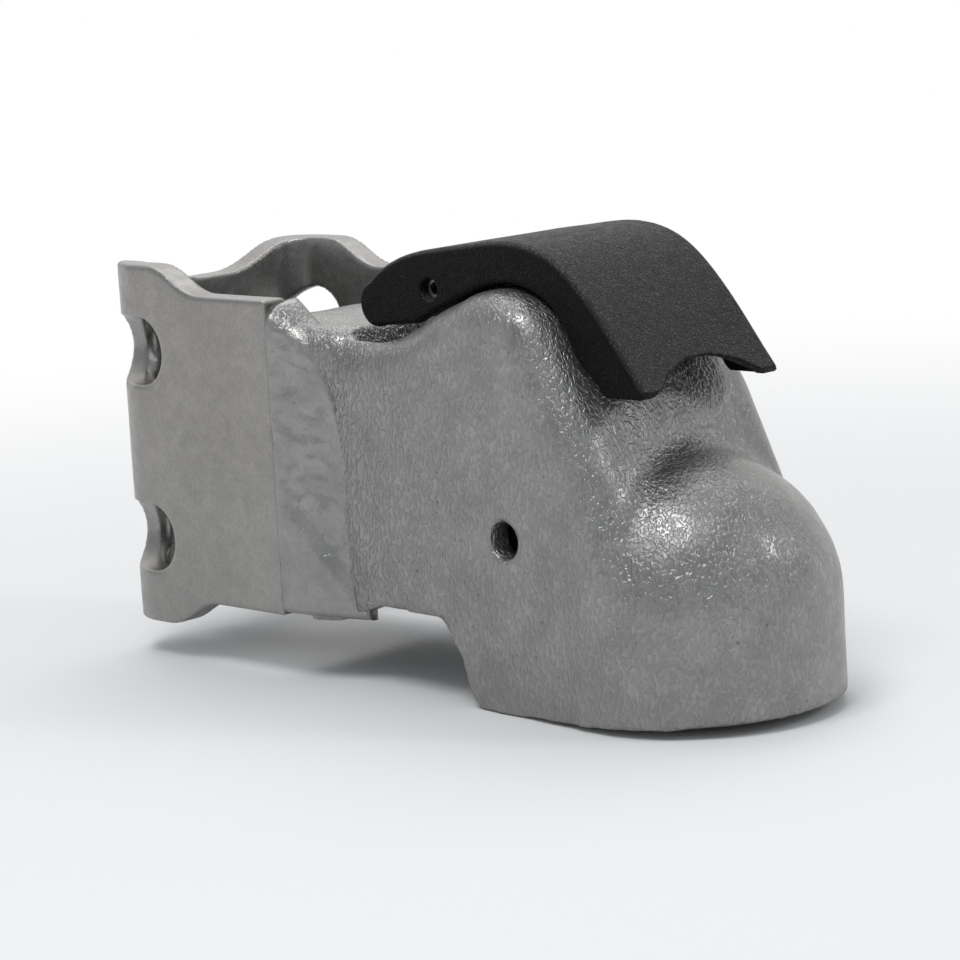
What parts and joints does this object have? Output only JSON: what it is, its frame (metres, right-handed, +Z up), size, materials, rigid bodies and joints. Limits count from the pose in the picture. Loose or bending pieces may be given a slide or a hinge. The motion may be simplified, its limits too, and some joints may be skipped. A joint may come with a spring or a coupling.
{
  "type": "trailer coupler head",
  "caption": "Cast ball coupler head on a channel-mount yoke, with a black lift handle, spring-loaded wedge lock and swinging ball clamp.",
  "frame": {"origin": "centre of the hitch ball when coupled", "axes": "+X towards the nose, +Z up, +Y to the side away from the camera in the picture"},
  "size_m": [0.2189, 0.0762, 0.119],
  "materials": {
    "cast_paint": "silver-grey paint over rough casting",
    "plate_paint": "smooth satin silver-grey paint",
    "weld_paint": "silver-grey paint over weld bead",
    "black_plastic": "satin, fine leather grain",
    "black_steel": "black oxide",
    "plated_steel": "zinc plated",
    "bare_casting": "as cast"
  },
  "bodies": {
    "housing": {"coupler_body": "cast_paint", "channel_yoke": "plate_paint", "weld_right": "weld_paint", "weld_left": "weld_paint", "clamp_pin": "plated_steel", "spring_washer": "plated_steel", "lock_spring": "plated_steel"},
    "handle": {"latch_handle": "black_plastic", "handle_pivot_pin": "black_steel", "lift_pin": "black_steel"},
    "lock": {"lock_plunger": "bare_casting", "lift_stem": "plated_steel", "stem_pin": "black_steel"},
    "clamp": {"ball_clamp": "bare_casting"}
  },
  "joints": [
    {"name": "handle_hinge", "type": "hinge", "parent": "housing", "child": "handle", "pos_m": [-0.0622, 0, 0.0793], "axis": [0, -1, 0], "range_deg": [0, 35], "stiffness_Nm_per_rad": 0.45, "springref_deg": -28.65},
    {"name": "lock_slide", "type": "slide", "parent": "housing", "child": "lock", "axis": [0, 0, 1], "range_m": [0, 0.01083], "deforming": ["lock_spring"]},
    {"name": "clamp_swing", "type": "hinge", "parent": "housing", "child": "clamp", "pos_m": [-0.0195, 0, 0.041], "axis": [0, 1, 0], "range_deg": [0, 6.5]}
  ],
  "couplings": [
    {"joint": "lock_slide", "follows": "handle_hinge", "m_per_rad": 0.01772},
    {"joint": "clamp_swing", "follows": "handle_hinge", "ratio": 0.1857}
  ]
}
